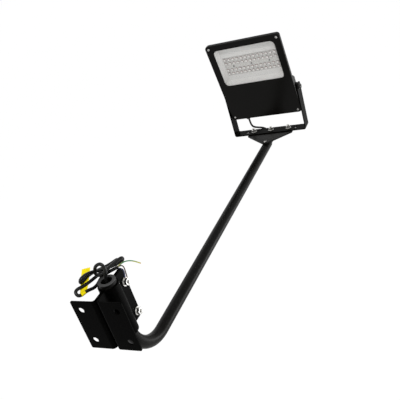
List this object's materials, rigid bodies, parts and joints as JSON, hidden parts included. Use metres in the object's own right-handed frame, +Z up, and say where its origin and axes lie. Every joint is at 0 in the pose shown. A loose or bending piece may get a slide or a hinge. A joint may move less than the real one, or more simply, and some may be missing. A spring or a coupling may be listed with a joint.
{
  "type": "sign floodlight",
  "caption": "Black floodlight on a long wall arm: folded clamp bracket, bent tube, yoke and a tilting lamp head with a glazed window.",
  "frame": {"origin": "centre of the wall bracket's face, on the wall", "axes": "+Y away from the wall along the arm, +Z up, +X to the right seen from the wall's front with the arm pointing away"},
  "size_m": [0.2558, 1.0792, 0.3595],
  "materials": {
    "black_paint": "semi-matt powder coat",
    "zinc": "bright zinc",
    "black_cast": "fine textured powder coat",
    "black_plastic": "matt",
    "cable_black": "satin",
    "core_green": "satin",
    "core_brown": "satin",
    "core_blue": "satin",
    "glass": "polished",
    "seal": "matt",
    "reflector": "satin white",
    "board": "white solder mask",
    "lens": "clear",
    "driver": "satin",
    "zinc_dark": "zinc"
  },
  "bodies": {
    "wall": {"bracket_left": "black_paint", "bracket_right": "black_paint", "clamp_bolts": "zinc", "clamp_washers": "zinc", "clamp_nuts": "zinc"},
    "arm": {"arm_tube": "black_paint", "arm_sleeve": "black_paint", "end_bush": "black_plastic", "fishtail_bracket": "black_paint", "bracket_screw": "zinc", "yoke": "black_paint", "yoke_bolts": "zinc", "yoke_washers": "zinc", "yoke_nuts": "zinc", "arm_lead": "cable_black", "cable_hank": "cable_black", "core_earth": "core_green", "core_live": "core_brown", "core_neutral": "core_blue"},
    "head": {"housing": "black_cast", "front_frame": "black_cast", "front_glass": "glass", "cover_gasket": "seal", "reflector_tray": "reflector", "led_board": "board", "lens_plate": "lens", "lens_screws": "zinc_dark", "led_driver": "driver", "cable_gland": "black_plastic", "gland_nut": "black_plastic", "cover_screws": "zinc_dark", "pivot_bolts": "zinc_dark", "pivot_washers": "zinc_dark", "friction_washers": "black_plastic", "head_lead": "cable_black"}
  },
  "joints": [
    {"name": "arm_swivel", "type": "hinge", "parent": "wall", "child": "arm", "pos_m": [0, 0.0485, 0], "axis": [0, 0, 1], "range_deg": [-40, 40]},
    {"name": "head_tilt", "type": "hinge", "parent": "arm", "child": "head", "pos_m": [0, 1.041, 0.0175], "axis": [1, 0, 0], "range_deg": [-30, 50], "deforming": ["head_lead"]}
  ]
}
